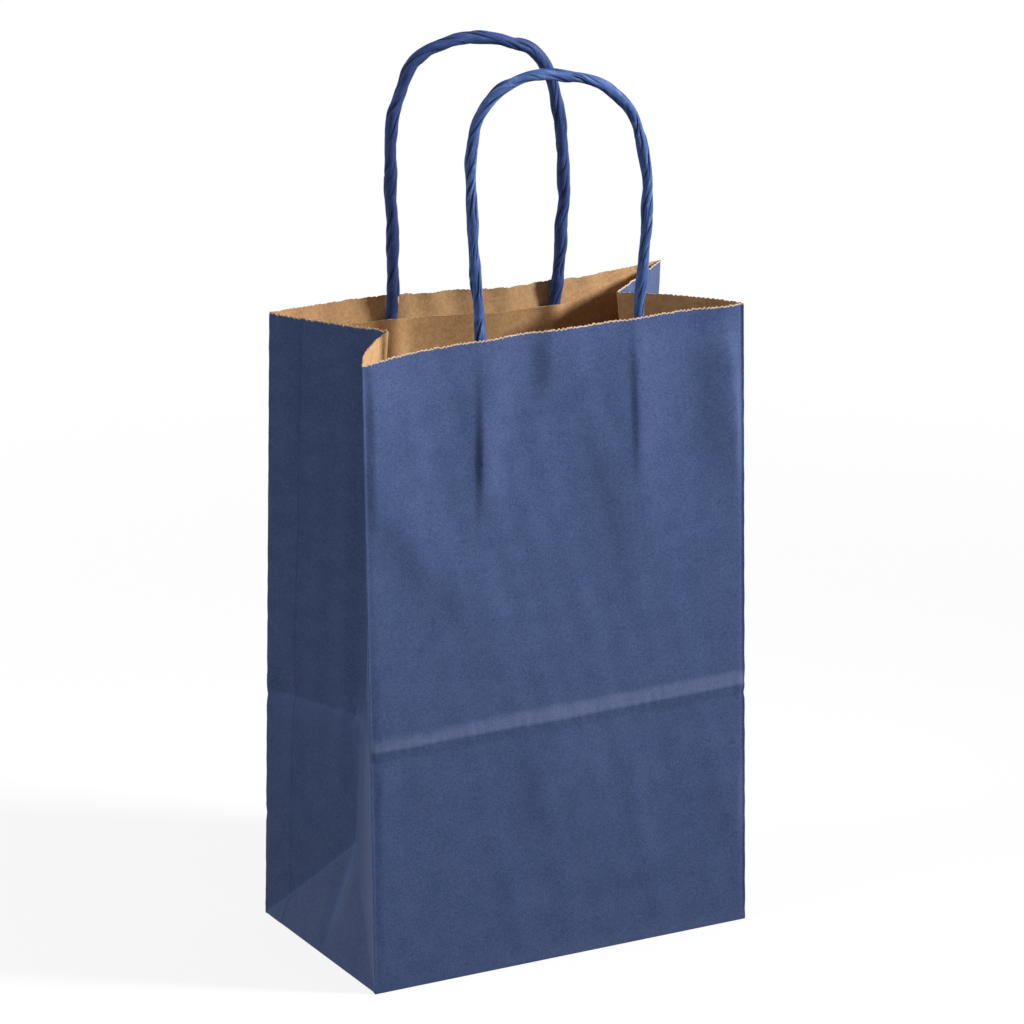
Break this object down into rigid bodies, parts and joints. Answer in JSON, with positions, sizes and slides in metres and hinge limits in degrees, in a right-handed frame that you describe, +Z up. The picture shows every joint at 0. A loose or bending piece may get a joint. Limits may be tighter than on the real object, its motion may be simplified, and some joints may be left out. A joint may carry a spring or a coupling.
{
  "type": "paper carrier bag",
  "caption": "Open block-bottom paper carrier bag, navy outside and brown inside, with folded gussets, a pinked top edge and twisted paper loop handles.",
  "frame": {"origin": "on the floor under the middle of the bag's bottom", "axes": "+Z up, X across the wide panels, the front panel towards -Y"},
  "size_m": [0.1407, 0.0794, 0.3057],
  "materials": {
    "printed_paper": "matt printed kraft paper, navy outside and bare brown inside",
    "twisted_paper": "twisted dyed kraft paper cord",
    "brown_paper": "bare brown kraft paper"
  },
  "bodies": {
    "root": {"bag_body": "printed_paper", "front_handle": "twisted_paper", "back_handle": "twisted_paper", "front_handle_patch": "brown_paper", "back_handle_patch": "brown_paper"}
  },
  "joints": []
}
